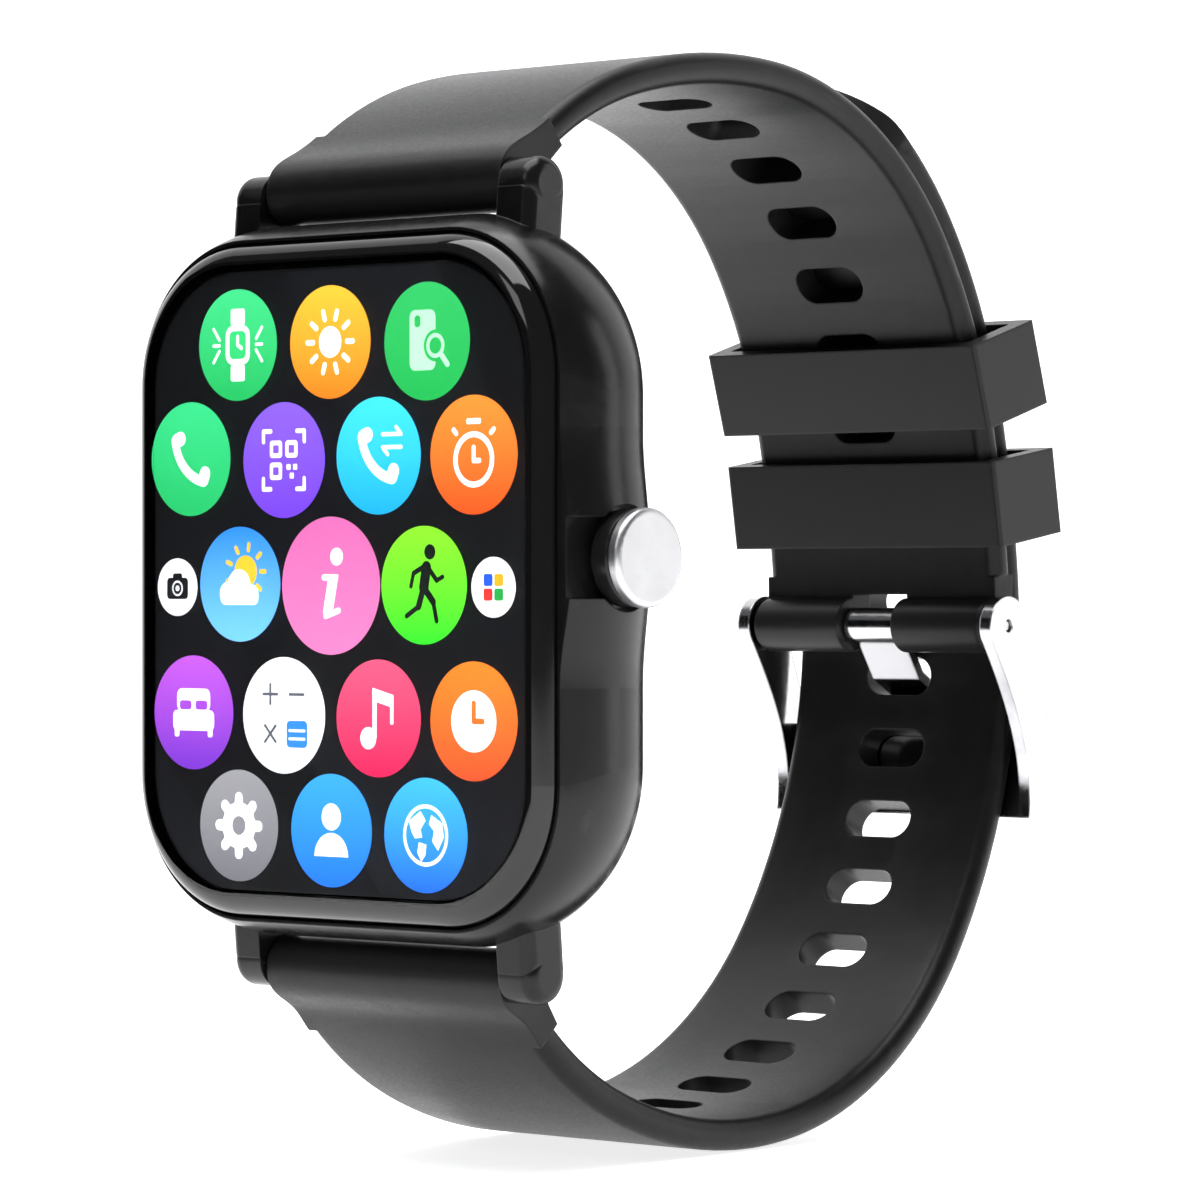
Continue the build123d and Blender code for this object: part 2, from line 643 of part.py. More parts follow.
# ---------------------------------------------------------------- assembly
def build_all():
    parts["case_shell"] = case_shell()
    parts["cover_glass"] = cover_glass()
    parts["display_gasket"] = display_gasket()
    parts["touch_layer"] = rounded_block(15.8, 19.1, 7.15, -9.53, -9.3)
    parts["display_panel"] = rounded_block(15.7, 19.0, 7.05, -9.28, -8.4)
    parts["backlight_plate"] = rounded_block(15.6, 18.9, 7.0, -8.36, -7.8)
    parts["display_flex"] = display_flex()
    parts["inner_chassis"] = inner_chassis()
    parts["main_board"] = main_board()
    parts["board_chips"] = Compound(board_chips())
    parts["shield_can"] = shield_can()
    parts["battery_cell"] = battery_cell()
    parts["battery_pad"] = battery_pad()
    parts["speaker_box"] = speaker_box()
    parts["speaker_diaphragm"] = speaker_diaphragm()
    parts["microphone_can"] = Pos(-5.6, -5.6, -15.2) * Box(2.4, 1.0, 2.4)
    parts["motor_can"] = motor_can()
    parts["motor_rotor"] = motor_rotor()
    parts["rear_cover"] = rear_cover()
    parts["rear_gasket"] = rear_gasket()
    parts["rear_screws"] = Compound(rear_screws())
    parts["sensor_window"] = sensor_window()
    parts["sensor_board"] = sensor_board()
    parts["sensor_leds"] = Compound(sensor_leds())
    parts["charging_contacts"] = Compound(charging_contacts())
    parts["charging_magnets"] = Compound(charging_magnets())
    parts["crown_cap"] = crown_cap()
    parts["crown_ring"] = crown_ring()
    parts["crown_shaft"] = crown_shaft()
    parts["crown_clip"] = crown_clip()
    parts["crown_bushing"] = crown_bushing()
    parts["crown_oring"] = crown_oring()
    parts["switch_body"] = switch_body()
    parts["switch_button"] = switch_button()
    parts["upper_strap"] = upper_strap()
    parts["lower_strap"] = lower_strap()
    add_spring_bar("upper", BAR_Y, BAR_Z, 9.6, 11.6)
    add_spring_bar("lower", BAR_Y, -BAR_Z, 9.6, 11.6)
    add_spring_bar("buckle", BUCKLE_Y, BUCKLE_Z, 9.6, 10.85)
    for name, station in KEEPER_STATIONS.items():
        parts[name] = keeper(station)
    parts["buckle_frame"] = buckle_frame()
    parts["buckle_tongue"] = buckle_tongue()


build_all()
os.makedirs("parts", exist_ok=True)
for name, shape in parts.items():
    export_step(shape, f"parts/{name}.step")
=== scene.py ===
import json
import math

import bmesh
import bpy
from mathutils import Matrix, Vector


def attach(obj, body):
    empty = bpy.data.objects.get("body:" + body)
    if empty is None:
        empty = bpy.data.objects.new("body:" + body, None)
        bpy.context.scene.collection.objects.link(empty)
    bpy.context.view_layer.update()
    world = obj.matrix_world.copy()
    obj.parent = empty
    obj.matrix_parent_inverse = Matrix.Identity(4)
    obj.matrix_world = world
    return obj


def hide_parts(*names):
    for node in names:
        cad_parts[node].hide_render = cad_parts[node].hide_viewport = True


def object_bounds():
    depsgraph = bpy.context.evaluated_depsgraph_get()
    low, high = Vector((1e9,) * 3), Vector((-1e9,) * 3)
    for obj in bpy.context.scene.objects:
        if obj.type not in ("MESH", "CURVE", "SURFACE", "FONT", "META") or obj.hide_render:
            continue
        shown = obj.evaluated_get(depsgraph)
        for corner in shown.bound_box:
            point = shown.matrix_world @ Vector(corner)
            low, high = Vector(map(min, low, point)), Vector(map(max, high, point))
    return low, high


# Smartwatch on a buckled silicone strap. Metres, in the CAD frame:
# +X is the crown side, -Y is where the display faces, +Z is 12 o'clock.
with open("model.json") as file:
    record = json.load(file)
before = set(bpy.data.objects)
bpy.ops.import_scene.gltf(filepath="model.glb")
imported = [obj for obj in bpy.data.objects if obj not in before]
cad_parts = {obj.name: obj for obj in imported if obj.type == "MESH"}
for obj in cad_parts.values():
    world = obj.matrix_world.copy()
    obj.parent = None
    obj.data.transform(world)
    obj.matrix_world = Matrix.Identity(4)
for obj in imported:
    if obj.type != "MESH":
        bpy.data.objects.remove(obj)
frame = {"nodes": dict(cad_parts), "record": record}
nodes = frame["nodes"]
cad_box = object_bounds()

MM = 0.001
WATCH = "watch"


def linear(value):
    """One channel of a colour, from 0 to 255 on screen, as linear light."""
    dark_limit = 10
    if value > dark_limit:
        return ((value / 255 + 0.055) / 1.055) ** 2.4
    return value / 3294


def srgb(red, green, blue):
    """Linear colour from the usual 0 to 255 values."""
    return (linear(red), linear(green), linear(blue), 1)


# ---------------------------------------------------------------- material building blocks
def add_node(tree, kind, **inputs):
    node = tree.nodes.new(kind)
    for name, value in inputs.items():
        node.inputs[name.replace("_", " ")].default_value = value
    return node


def grain_texture(tree, scale, stretch=(1, 1, 1), detail=5.0):
    """Noise in the object's own metres; stretch draws it out into brushing lines."""
    place = add_node(tree, "ShaderNodeTexCoord")
    mapping = add_node(tree, "ShaderNodeMapping", Scale=stretch)
    noise = add_node(tree, "ShaderNodeTexNoise", Scale=scale, Detail=detail)
    tree.links.new(place.outputs["Object"], mapping.inputs["Vector"])
    tree.links.new(mapping.outputs["Vector"], noise.inputs["Vector"])
    return noise.outputs["Fac"]


def ramp(tree, factor, stops):
    node = add_node(tree, "ShaderNodeValToRGB")
    for element, (position, colour) in zip(node.color_ramp.elements, stops):
        element.position = position
        element.color = colour
    tree.links.new(factor, node.inputs["Fac"])
    return node.outputs["Color"]


def spread(tree, factor, low, high):
    node = add_node(tree, "ShaderNodeMapRange", From_Min=0.3, From_Max=0.7, To_Min=low, To_Max=high)
    tree.links.new(factor, node.inputs["Value"])
    return node.outputs["Result"]


def painted_edge_highlight(tree, colour, highlight_colour, start):
    """Mix in a lighter colour where the surface bends out sharply: a painted highlight along convex edges.
    """
    shape = add_node(tree, "ShaderNodeNewGeometry")
    edge = ramp(tree, shape.outputs["Pointiness"], [(start, (0, 0, 0, 1)), (start + 0.08, (1, 1, 1, 1))])
    mix = add_node(tree, "ShaderNodeMix")
    mix.data_type = "RGBA"
    colour_a, colour_b, colour_out = mix.inputs[6], mix.inputs[7], mix.outputs[2]
    tree.links.new(edge, mix.inputs["Factor"])
    tree.links.new(colour, colour_a)
    colour_b.default_value = highlight_colour
    return colour_out


def surface(name, dark, light, roughness, grain=900, bump=0.1, stretch=(1, 1, 1),
            rounding=0.12 * MM, worn=None, **shader_values):
    """A material with fine variation in colour, gloss and height, soft edges and a painted highlight, a
    lighter colour on sharp convex edges.
    """
    material = bpy.data.materials.new(name)
    material.use_nodes = True
    tree = material.node_tree
    shader = tree.nodes["Principled BSDF"]
    for socket, value in shader_values.items():
        shader.inputs[socket.replace("_", " ")].default_value = value
    broad = grain_texture(tree, grain * 0.15)
    fine = grain_texture(tree, grain, stretch)
    colour = ramp(tree, broad, [(0.3, dark), (0.7, light)])
    # painted highlight: sharp convex edges get a lighter colour
    if worn:
        colour = painted_edge_highlight(tree, colour, worn, 0.55)
    tree.links.new(colour, shader.inputs["Base Color"])
    tree.links.new(spread(tree, fine, roughness[0], roughness[1]), shader.inputs["Roughness"])
    soft_edge = add_node(tree, "ShaderNodeBevel", Radius=rounding)
    height = add_node(tree, "ShaderNodeBump", Strength=bump, Distance=0.05 * MM)
    tree.links.new(fine, height.inputs["Height"])
    tree.links.new(soft_edge.outputs["Normal"], height.inputs["Normal"])
    tree.links.new(height.outputs["Normal"], shader.inputs["Normal"])
    return material


def grey(value):
    return (value, value, value * 1.02, 1)


# ---------------------------------------------------------------- materials
def metal(name, value, roughness, **extra):
    return surface(name, grey(value * 0.9), grey(value), roughness, Metallic=1.0, **extra)


MATERIALS = {
    # the lighter colour on sharp convex edges of case_black is a painted highlight
    "case_black": surface("case_black", grey(0.004), grey(0.007), (0.2, 0.27), 1600, 0.03,
                          worn=grey(0.015), Specular_IOR_Level=0.28),
    "cover_lens": surface("cover_lens", grey(0.96), grey(1.0), (0.015, 0.04), 300, 0.0,
                          rounding=0.05 * MM, Transmission_Weight=1.0, IOR=1.5),
    "glass_border": surface("glass_border", grey(0.003), grey(0.005), (0.05, 0.09), 300, 0.0,
                            rounding=0.05 * MM, Specular_IOR_Level=0.5),
    "display_stack": surface("display_stack", grey(0.004), grey(0.008), (0.3, 0.45), 500, 0.02),
    "gasket_black": surface("gasket_black", grey(0.008), grey(0.015), (0.5, 0.65), 3000, 0.2),
    "chassis_grey": surface("chassis_grey", grey(0.07), grey(0.1), (0.5, 0.62), 2500, 0.25),
    "board_green": surface("board_green", srgb(9, 62, 34), srgb(14, 84, 46), (0.28, 0.4), 2200, 0.15),
    "chip_black": surface("chip_black", grey(0.012), grey(0.02), (0.45, 0.6), 3500, 0.2),
    "shield_tin": metal("shield_tin", 0.62, (0.28, 0.42), grain=1800, bump=0.1, stretch=(1, 1, 12)),
    "cell_silver": metal("cell_silver", 0.68, (0.3, 0.45), grain=900, bump=0.25),
    "flex_amber": surface("flex_amber", srgb(128, 76, 20), srgb(158, 98, 30), (0.3, 0.4), 1800, 0.1),
    # the lighter colour on sharp convex edges of back_black is a painted highlight
    "back_black": surface("back_black", grey(0.010), grey(0.017), (0.38, 0.5), 3200, 0.22,
                          worn=grey(0.035)),
    "sensor_smoke": surface("sensor_smoke", grey(0.010), grey(0.018), (0.03, 0.07), 500, 0.0,
                            Coat_Weight=0.8, Coat_Roughness=0.03),
    "led_clear": surface("led_clear", srgb(120, 170, 120), srgb(150, 205, 150), (0.15, 0.25), 1500, 0.05),
    "contact_gold": surface("contact_gold", srgb(196, 152, 82), srgb(222, 182, 108), (0.16, 0.28), 2600,
                            0.1, Metallic=1.0),
    "magnet_nickel": metal("magnet_nickel", 0.66, (0.12, 0.22), grain=1500, bump=0.06),
    # the lighter colour on sharp convex edges of steel_polished is a painted highlight
    "steel_polished": metal("steel_polished", 0.44, (0.12, 0.2), grain=1400, bump=0.05,
                            worn=grey(0.62), rounding=0.2 * MM),
    "steel_satin": metal("steel_satin", 0.6, (0.25, 0.36), grain=2600, bump=0.1, stretch=(1, 8, 8)),
    "cap_satin": metal("cap_satin", 0.58, (0.3, 0.4), grain=2200, bump=0.12, stretch=(1, 1, 10)),
    "brass": surface("brass", srgb(178, 140, 70), srgb(204, 168, 92), (0.25, 0.36), 2400, 0.1,
                     stretch=(10, 1, 1), Metallic=1.0),
    # the lighter colour on sharp convex edges of strap_silicone is a painted highlight
    "strap_silicone": surface("strap_silicone", grey(0.004), grey(0.007), (0.33, 0.42), 4200, 0.08,
                              rounding=0.2 * MM, worn=grey(0.014), Specular_IOR_Level=0.25),
}


def dress_cad_nodes():
    """Every node takes the procedural material of its record slot."""
    slots = {row["node"]: row["material_slot"] for row in frame["record"]["subparts"]}
    for name, piece in nodes.items():
        piece.data.materials.clear()
        piece.data.materials.append(MATERIALS[slots[name]])


def print_glass_border():
    """The glass is clear only over the display; its curved rim is backed with black."""
    glass = nodes["cover_glass"]
    glass.data.materials.append(MATERIALS["glass_border"])
    flat = 0.99
    case_front = -9 * MM
    for face in glass.data.polygons:
        if abs(face.normal.y) < flat or face.center.y > case_front:
            face.material_index = 1


# ---------------------------------------------------------------- straps
def strap_skin(node, name):
    """The visible silicone of a strap half: a copy of the node's shape, welded and shaded smooth."""
    work = bmesh.new()
    work.from_mesh(nodes[node].data)
    bmesh.ops.remove_doubles(work, verts=work.verts, dist=0.002 * MM)
    mesh = bpy.data.meshes.new(name)
    work.verts.ensure_lookup_table()
    corners = [tuple(v.co) for v in work.verts]
    faces = [[v.index for v in face.verts] for face in work.faces]
    work.free()
    mesh.from_pydata(corners, [], faces)
    mesh.shade_smooth()
    mesh.set_sharp_from_angle(angle=math.radians(32))
    mesh.materials.append(MATERIALS["strap_silicone"])
    skin = bpy.data.objects.new(name, mesh)
    bpy.context.scene.collection.objects.link(skin)
    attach(skin, WATCH)
    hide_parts(node)


# ---------------------------------------------------------------- flat shapes for the screen
def disc(x, z, radius, count=40):
    return [(x + radius * math.cos(2 * math.pi * i / count), z + radius * math.sin(2 * math.pi * i / count))
            for i in range(count)]


def arc_points(x, z, radius, start, end, count=16):
    turns = [math.radians(start + (end - start) * i / count) for i in range(count + 1)]
    return [(x + radius * math.cos(t), z + radius * math.sin(t)) for t in turns]


def band(x, z, inner, outer, start, end):
    """Part of a ring, between two angles in degrees."""
    return arc_points(x, z, outer, start, end) + arc_points(x, z, inner, end, start)


def ring(x, z, inner, outer):
    return [band(x, z, inner, outer, start, start + 90) for start in (0, 90, 180, 270)]


def slab(x, z, width, height, corner=0.05):
    """Rectangle with rounded corners."""
    hx = width / 2 - corner
    hz = height / 2 - corner
    points = []
    for sx, sz, start in ((1, 1, 0), (-1, 1, 90), (-1, -1, 180), (1, -1, 270)):
        points += arc_points(x + sx * hx, z + sz * hz, corner, start, start + 90, 5)
    return points


def stroke(x0, z0, x1, z1, width=0.1):
    """A line with round ends."""
    heading = math.degrees(math.atan2(z1 - z0, x1 - x0))
    return (arc_points(x1, z1, width / 2, heading - 90, heading + 90, 8)
            + arc_points(x0, z0, width / 2, heading + 90, heading + 270, 8))


# ---------------------------------------------------------------- pictographs, on a disc of radius 1
# Each is a list of (ink, outline). Ink 0 is the disc's own colour again, and the icon's inks count from 1.
def inked(outlines, ink=1):
    return [(ink, outline) for outline in outlines]


def draw_watch():
    rays = [stroke(side * 0.47, rise * 0.1, side * 0.62, rise * 0.3, 0.06)
            for side in (1, -1) for rise in (1, 0, -1)]
    return (inked([slab(0, 0.5, 0.36, 0.3), slab(0, -0.5, 0.36, 0.3), slab(0, 0, 0.62, 0.7, 0.18)] + rays)
            + inked([slab(0, 0, 0.42, 0.5, 0.1)], 0)
            + inked([stroke(0, 0, 0, 0.15, 0.07), stroke(0, 0, 0.1, -0.06, 0.07)]))


def spokes(count, start, end, width):
    """Short strokes that point out from the middle."""
    lines = []
    for i in range(count):
        c = math.cos(2 * math.pi * i / count)
        s = math.sin(2 * math.pi * i / count)
        lines.append(stroke(start * c, start * s, end * c, end * s, width))
    return lines


def draw_sun():
    return inked([disc(0, 0, 0.28)] + spokes(10, 0.42, 0.56, 0.1))


def draw_phone_finder():
    return (inked([slab(-0.1, 0.02, 0.6, 1.02, 0.12)])
            + inked([slab(-0.22, 0.34, 0.14, 0.2, 0.06)], 0)
            + inked([disc(0.2, -0.08, 0.27)], 0)
            + inked(ring(0.2, -0.08, 0.14, 0.21) + [stroke(0.35, -0.25, 0.48, -0.4, 0.1)]))


def draw_handset():
    return inked([
        band(0.46, 0.46, 0.78, 0.96, 190, 260),
        stroke(-0.26, 0.36, -0.36, 0.32, 0.26),
        stroke(0.36, -0.26, 0.32, -0.36, 0.26),
    ])


def draw_call_log():
    arrows = [stroke(0.1, 0.36, 0.54, 0.36, 0.07), stroke(0.42, 0.48, 0.54, 0.36, 0.07),
              stroke(0.1, 0.14, 0.54, 0.14, 0.07), stroke(0.22, 0.02, 0.1, 0.14, 0.07)]
    return draw_handset() + inked(arrows)


def draw_scanner():
    """Corner brackets round three square targets and a few specks, as in a generic square code."""
    marks = []
    holes = []
    for sx in (1, -1):
        for sz in (1, -1):
            marks.append(stroke(sx * 0.5, sz * 0.5, sx * 0.32, sz * 0.5, 0.08))
            marks.append(stroke(sx * 0.5, sz * 0.5, sx * 0.5, sz * 0.32, 0.08))
    for x, z in ((-0.19, 0.19), (0.19, 0.19), (-0.19, -0.19)):
        marks.append(slab(x, z, 0.3, 0.3, 0.06))
        holes.append(slab(x, z, 0.14, 0.14, 0.02))
    specks = [slab(0.12, -0.12, 0.1, 0.1, 0.02), slab(0.28, -0.12, 0.1, 0.1, 0.02),
              slab(0.2, -0.27, 0.1, 0.1, 0.02)]
    return inked(marks + specks) + inked(holes, 0)


def draw_stopwatch():
    return inked(ring(0, -0.08, 0.37, 0.47) + [
        slab(0, 0.56, 0.34, 0.1, 0.04), stroke(0, -0.1, 0, 0.12, 0.09), stroke(0, -0.1, 0.13, -0.1, 0.09),
        stroke(0.4, 0.36, 0.46, 0.42, 0.09), stroke(-0.4, 0.36, -0.46, 0.42, 0.09),
    ])


def draw_camera():
    return (inked([slab(0, -0.04, 1.05, 0.74, 0.14), slab(0, 0.36, 0.46, 0.24, 0.08)])
            + inked([disc(0, -0.04, 0.27)], 0) + inked(ring(0, -0.04, 0.1, 0.2)))


def draw_weather():
    """A cloud in the first ink, over a sun in the second."""
    rays = [[(x + 0.14, z + 0.22) for x, z in ray] for ray in spokes(9, 0.38, 0.48, 0.08)]
    return (inked([disc(0.14, 0.22, 0.28)] + rays, 2)
            + inked([disc(-0.3, -0.16, 0.2), disc(-0.02, -0.02, 0.28), disc(0.28, -0.18, 0.18),
                     slab(-0.01, -0.23, 0.94, 0.26, 0.12)]))


def draw_information():
    lean = [(-0.04, 0.16), (0.16, 0.16), (0.04, -0.4), (-0.16, -0.4)]
    return inked([disc(0.12, 0.42, 0.13), lean, stroke(-0.14, 0.12, 0.06, 0.12, 0.09),
                  stroke(-0.1, -0.44, 0.16, -0.36, 0.09)])


def draw_runner():
    return inked([
        disc(0.14, 0.56, 0.13),
        stroke(0.06, 0.3, 0.0, -0.04, 0.22),
        stroke(0.08, 0.32, 0.3, 0.08, 0.09),
        stroke(0.3, 0.08, 0.44, 0.14, 0.08),
        stroke(0.02, 0.32, -0.24, 0.2, 0.09),
        stroke(-0.24, 0.2, -0.3, -0.02, 0.08),
        stroke(0.02, -0.06, 0.22, -0.28, 0.13),
        stroke(0.22, -0.28, 0.3, -0.6, 0.09),
        stroke(-0.02, -0.08, -0.12, -0.36, 0.13),
        stroke(-0.12, -0.36, -0.4, -0.52, 0.09),
    ])


def draw_bed():
    return (inked([slab(0, 0.22, 0.84, 0.4, 0.12), slab(0, -0.14, 1.04, 0.36, 0.1),
                   slab(-0.42, -0.34, 0.12, 0.18, 0.04), slab(0.42, -0.34, 0.12, 0.18, 0.04)])
            + inked([slab(-0.2, 0.13, 0.3, 0.16, 0.06), slab(0.2, 0.13, 0.3, 0.16, 0.06)], 0))


def draw_calculator():
    marks = [stroke(-0.5, 0.36, -0.16, 0.36, 0.05), stroke(-0.33, 0.19, -0.33, 0.53, 0.05),
             stroke(0.14, 0.36, 0.48, 0.36, 0.05),
             stroke(-0.46, -0.18, -0.2, -0.46, 0.05), stroke(-0.46, -0.46, -0.2, -0.18, 0.05)]
    return (inked(marks) + inked([slab(0.32, -0.32, 0.5, 0.46, 0.08)], 2)
            + inked([stroke(0.14, -0.26, 0.5, -0.26, 0.05), stroke(0.14, -0.4, 0.5, -0.4, 0.05)], 0))


def draw_note():
    return inked([disc(-0.24, -0.34, 0.19), slab(-0.09, 0.06, 0.1, 0.82, 0.03),
                  [(-0.14, 0.3), (-0.14, 0.52), (0.36, 0.4), (0.36, 0.18)],
                  slab(0.32, 0.12, 0.08, 0.44, 0.03)])


def draw_clock():
    return inked([disc(0, 0, 0.52)]) + inked([stroke(0, 0, 0, 0.3, 0.1), stroke(0, 0, 0.2, 0, 0.1)], 0)


def draw_gear():
    return inked(ring(0, 0, 0.17, 0.42) + spokes(8, 0.38, 0.5, 0.2))


def draw_person():
    return inked([disc(0, 0.24, 0.24), arc_points(0, -0.46, 0.42, 0, 180)])


def draw_globe():
    """Ring with two plain land shapes of no particular map."""
    west = [(-0.4, 0.24), (-0.12, 0.42), (0.0, 0.26), (-0.12, 0.1), (-0.08, -0.04), (-0.26, -0.06),
            (-0.34, 0.06)]
    south = [(-0.16, -0.12), (0.02, -0.16), (0.0, -0.34), (-0.1, -0.46), (-0.2, -0.3)]
    east = [(0.14, 0.36), (0.4, 0.22), (0.44, -0.02), (0.3, -0.26), (0.16, -0.1), (0.2, 0.08), (0.08, 0.2)]
    return inked(ring(0, 0, 0.47, 0.54) + [west, south, east])


def draw_tiles():
    """Four coloured squares in inks of their own."""
    places = [(-0.24, 0.24), (0.24, 0.24), (-0.24, -0.24), (0.24, -0.24)]
    return [(ink, slab(x, z, 0.4, 0.4, 0.08)) for ink, (x, z) in enumerate(places, 1)]


# ---------------------------------------------------------------- the lit picture on the screen
PICTURE_Y = -9.537          # in mm, just in front of the touch layer and under the glass
LAYER = 0.0015              # in mm, each further shape lies this much nearer the glass
WHITE = srgb(250, 250, 250)

BLACK = srgb(20, 22, 24)
# name, drawing, x and z of the centre in mm, diameter in mm, colours at the top and bottom, inks
ICONS = [
    ("watch_faces", draw_watch, -8.35, 14.56, 6.9, srgb(70, 226, 140), srgb(36, 190, 96), [WHITE]),
    ("brightness", draw_sun, -0.3, 14.49, 6.9, srgb(250, 204, 60), srgb(244, 132, 28), [WHITE]),
    ("phone_finder", draw_phone_finder, 7.85, 14.28, 7.1, srgb(54, 200, 104), srgb(34, 184, 84),
     [srgb(190, 245, 205)]),
    ("calls", draw_handset, -12.55, 7.58, 7.1, srgb(60, 222, 138), srgb(36, 192, 104), [WHITE]),
    ("scanner", draw_scanner, -4.3, 7.38, 7.1, srgb(142, 98, 246), srgb(118, 66, 226), [WHITE]),
    ("call_log", draw_call_log, 3.8, 7.51, 7.1, srgb(66, 226, 248), srgb(24, 172, 226), [WHITE]),
    ("stopwatch", draw_stopwatch, 11.7, 7.43, 7.1, srgb(255, 150, 54), srgb(240, 84, 26), [WHITE]),
    ("camera", draw_camera, -13.75, -0.4, 3.6, WHITE, srgb(232, 234, 236), [BLACK]),
    ("weather", draw_weather, -8.15, -0.22, 7.1, srgb(44, 140, 238), srgb(120, 204, 255),
     [WHITE, srgb(255, 200, 50)]),
    ("information", draw_information, -0.25, -0.32, 8.4, srgb(222, 110, 178), srgb(232, 130, 190), [WHITE]),
    ("exercise", draw_runner, 7.6, -0.3, 7.1, srgb(140, 232, 44), srgb(50, 226, 44), [BLACK]),
    ("tiles", draw_tiles, 13.3, -0.43, 3.6, WHITE, srgb(236, 238, 240),
     [srgb(38, 92, 226), srgb(250, 182, 30), srgb(228, 52, 48), srgb(40, 170, 74)]),
    ("sleep", draw_bed, -12.3, -8.2, 7.1, srgb(196, 92, 226), srgb(118, 52, 200), [WHITE]),
    ("calculator", draw_calculator, -4.3, -8.26, 7.15, WHITE, srgb(240, 242, 244),
     [srgb(96, 100, 108), srgb(52, 140, 240)]),
    ("music", draw_note, 3.8, -8.32, 7.1, srgb(255, 92, 130), srgb(238, 30, 90), [WHITE]),
    ("alarm", draw_clock, 11.7, -8.37, 7.1, srgb(255, 140, 40), srgb(242, 84, 40), [WHITE]),
    ("settings", draw_gear, -8.25, -15.13, 6.9, srgb(158, 158, 162), srgb(122, 122, 128), [WHITE]),
    ("contacts", draw_person, -0.2, -15.2, 6.9, srgb(58, 172, 252), srgb(30, 120, 244), [WHITE]),
    ("world_clock", draw_globe, 7.75, -15.25, 6.9, srgb(66, 192, 255), srgb(34, 110, 240), [WHITE]),
]


def lit(name, top, bottom, half_height, strength):
    """A glowing colour that runs from top to bottom over a shape centred on its own origin."""
    material = bpy.data.materials.new(name)
    material.use_nodes = True
    tree = material.node_tree
    shader = tree.nodes["Principled BSDF"]
    place = add_node(tree, "ShaderNodeTexCoord")
    parted = add_node(tree, "ShaderNodeSeparateXYZ")
    height = add_node(tree, "ShaderNodeMapRange", From_Min=-half_height, From_Max=half_height)
    tree.links.new(place.outputs["Object"], parted.inputs["Vector"])
    tree.links.new(parted.outputs["Z"], height.inputs["Value"])
    colour = ramp(tree, height.outputs["Result"], [(0.0, bottom), (1.0, top)])
    tree.links.new(colour, shader.inputs["Base Color"])
    tree.links.new(colour, shader.inputs["Emission Color"])
    tree.links.new(spread(tree, grain_texture(tree, 2500), 0.35, 0.45), shader.inputs["Roughness"])
    shader.inputs["Emission Strength"].default_value = strength
    return material


def flat_piece(name, centre, shapes, materials):
    """Flat outlines in the plane of the screen; shapes is a list of (material index, outline in mm)."""
    work = bmesh.new()
    for level, (ink, outline) in enumerate(shapes):
        corners = [work.verts.new((x * MM, -level * LAYER * MM, z * MM)) for x, z in outline]
        face = work.faces.new(corners)
        face.material_index = ink
    bmesh.ops.recalc_face_normals(work, faces=work.faces)
    bmesh.ops.triangulate(work, faces=work.faces)
    mesh = bpy.data.meshes.new(name)
    work.to_mesh(mesh)
    work.free()
    for material in materials:
        mesh.materials.append(material)
    piece = bpy.data.objects.new(name, mesh)
    piece.location = (centre[0] * MM, centre[1] * MM, centre[2] * MM)
    bpy.context.scene.collection.objects.link(piece)
    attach(piece, WATCH)


def scaled(outline, size):
    return [(x * size, z * size) for x, z in outline]


def add_icon(name, drawing, x, z, diameter, top, bottom, inks):
    radius = diameter / 2
    materials = [lit("glow_" + name, top, bottom, radius * MM, 0.9)]
    materials += [lit(f"ink_{name}_{i}", ink, ink, radius * MM, 0.9) for i, ink in enumerate(inks)]
    shapes = [(0, disc(0, 0, radius, 64))]
    shapes += [(kind, scaled(outline, radius)) for kind, outline in drawing()]
    flat_piece("icon_" + name, (x, PICTURE_Y, z), shapes, materials)


def add_wallpaper():
    """Dark background with faint large facets."""
    tones = [srgb(13, 14, 16), srgb(19, 20, 23), srgb(9, 10, 12), srgb(24, 25, 28)]
    materials = [lit(f"facet_{i}", tone, tones[(i + 1) % 4], 19 * MM, 0.8) for i, tone in enumerate(tones)]
    shapes = [
        (0, slab(0, 0, 31.4, 38.0, 7.0)),
        (1, [(-15.6, 4), (-4, 18.9), (3, 6), (-6, -6)]),
        (3, [(3, 6), (-4, 18.9), (8.6, 18.9), (15.6, 6)]),
        (2, [(-6, -6), (3, 6), (15.6, -4), (4, -18.9)]),
        (1, [(-15.6, -10), (-6, -6), (4, -18.9), (-8, -18.9)]),
    ]
    flat_piece("screen_wallpaper", (0, PICTURE_Y + 0.006, 0), shapes, materials)


# ---------------------------------------------------------------- studio
CAMERA_TURN = 42.0          # degrees round from straight ahead
CAMERA_PLACE = (223.02 * MM, -233.35 * MM, -0.86 * MM)


def add_camera():
    data = bpy.data.cameras.new("camera")
    data.lens = 155.77
    data.sensor_width = 36.0
    data.clip_start = 0.01
    camera = bpy.data.objects.new("camera", data)
    camera.location = CAMERA_PLACE
    camera.rotation_euler = (math.radians(89.94), 0, math.radians(CAMERA_TURN))
    bpy.context.scene.collection.objects.link(camera)
    bpy.context.scene.camera = camera


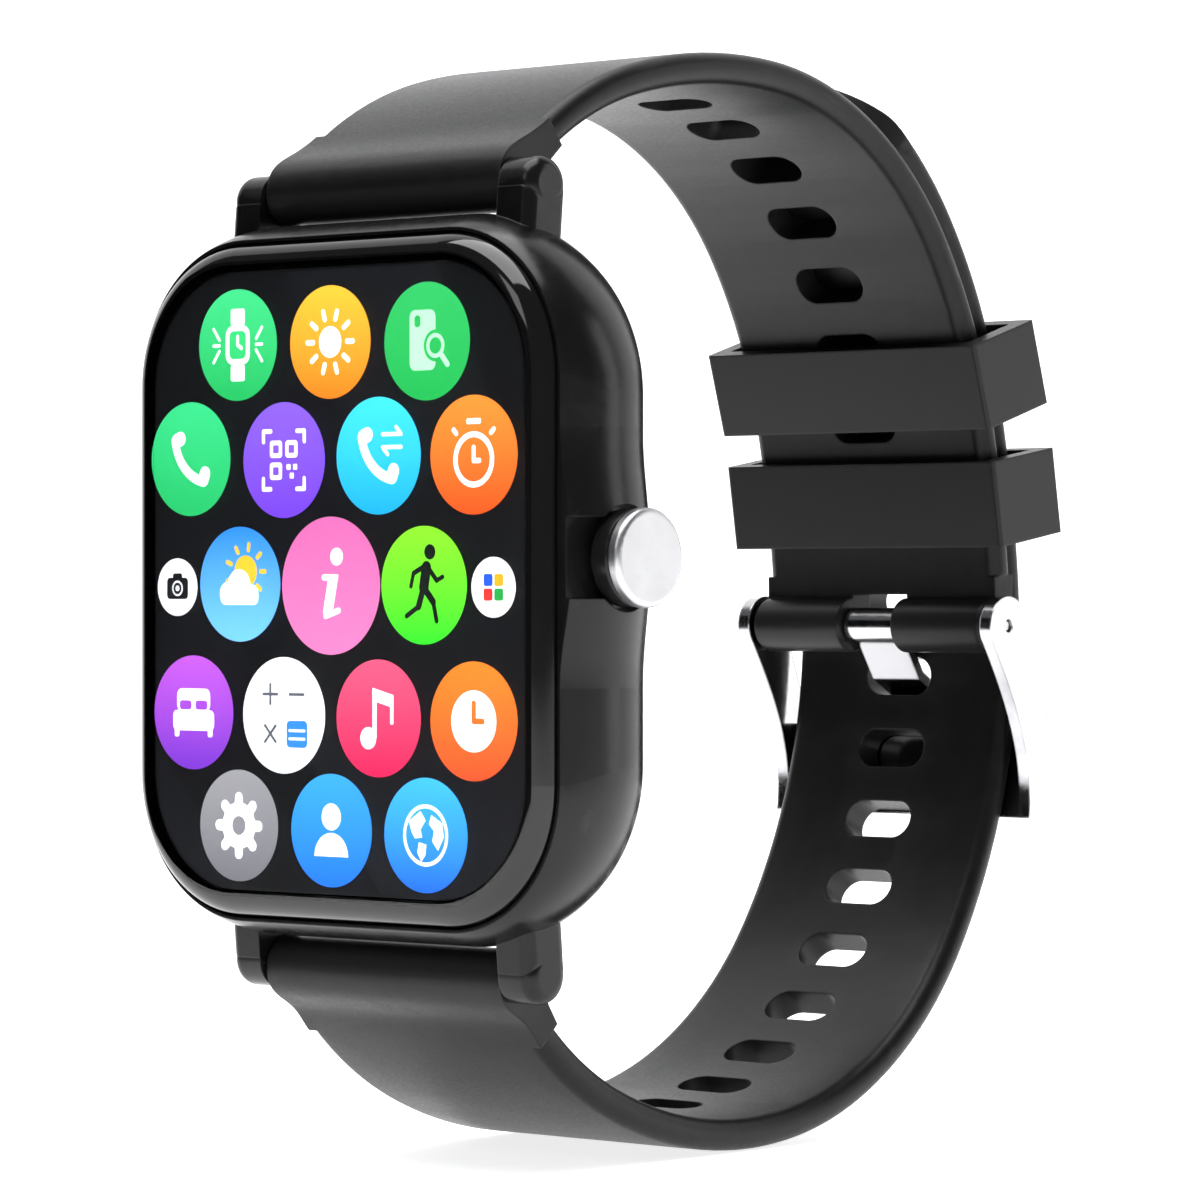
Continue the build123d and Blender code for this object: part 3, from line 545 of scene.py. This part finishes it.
def add_sweep():
    """Seamless pale floor that curves up into the background behind the watch."""
    floor = cad_box[0].z - 0.05 * MM
    near, far, bend, top, half_width = -1.2, 1.1, 0.5, 2.6, 2.6
    profile = [(near, floor), (far - bend, floor)]
    for i in range(1, 13):
        turn = math.pi / 2 * i / 12
        profile.append((far - bend + bend * math.sin(turn), floor + bend * (1 - math.cos(turn))))
    profile.append((far, top))
    corners = [(side * half_width, y, z) for y, z in profile for side in (-1, 1)]
    faces = [(2 * i, 2 * i + 1, 2 * i + 3, 2 * i + 2) for i in range(len(profile) - 1)]
    mesh = bpy.data.meshes.new("studio_sweep")
    mesh.from_pydata(corners, [], faces)
    mesh.shade_smooth()
    pale = surface("studio_paper", grey(0.9), grey(0.93), (0.7, 0.8), 60, 0.0,
                   Emission_Color=(1, 1, 1, 1), Emission_Strength=0.8)
    mesh.materials.append(pale)
    sweep = bpy.data.objects.new("studio_sweep", mesh)
    sweep.rotation_euler = (0, 0, math.radians(CAMERA_TURN))
    bpy.context.scene.collection.objects.link(sweep)


def add_soft_light(name, place, size, power):
    """A large square light aimed at the watch."""
    data = bpy.data.lights.new(name, "AREA")
    data.shape = "RECTANGLE"
    data.size = size[0]
    data.size_y = size[1]
    data.energy = power
    light = bpy.data.objects.new(name, data)
    light.location = place
    away = math.atan2(place[1], place[0]) + math.pi / 2
    tilt = math.atan2(math.hypot(place[0], place[1]), place[2])
    light.rotation_euler = (tilt, 0, away)
    bpy.context.scene.collection.objects.link(light)


def add_dark_card():
    """A black flag beside the watch keeps the bright floor out of the screen's reflection."""
    card_x = -0.12
    low = cad_box[0].z
    high = 0.07
    corners = [(card_x, -0.16, low), (card_x, 0.07, low), (card_x, 0.07, high), (card_x, -0.16, high)]
    mesh = bpy.data.meshes.new("dark_card")
    mesh.from_pydata(corners, [], [(0, 1, 2, 3)])
    mesh.materials.append(surface("card_black", grey(0.002), grey(0.004), (0.9, 1.0), 60, 0.0,
                                  Specular_IOR_Level=0.0))
    card = bpy.data.objects.new("dark_card", mesh)
    card.rotation_euler = (0, 0, math.radians(CAMERA_TURN))
    card.visible_camera = False
    bpy.context.scene.collection.objects.link(card)


def add_studio():
    add_camera()
    add_dark_card()
    add_sweep()
    add_soft_light("light_top", (-0.05, -0.1, 0.7), (0.7, 0.7), 8.0)
    add_soft_light("light_right", (0.48, 0.57, 0.08), (0.2, 0.7), 0.9)
    add_soft_light("light_front", (-0.05, -0.8, 0.45), (0.3, 0.3), 0.8)
    world = bpy.data.worlds.new("studio_air")
    world.use_nodes = True
    world.node_tree.nodes["Background"].inputs["Color"].default_value = (0.95, 0.97, 1, 1)
    world.node_tree.nodes["Background"].inputs["Strength"].default_value = 0.12
    bpy.context.scene.world = world
    bpy.context.scene.view_settings.view_transform = "Standard"


# ---------------------------------------------------------------- everything
dress_cad_nodes()
print_glass_border()
strap_skin("upper_strap", "upper_strap_skin")
strap_skin("lower_strap", "lower_strap_skin")
add_wallpaper()
for icon in ICONS:
    add_icon(*icon)
add_studio()
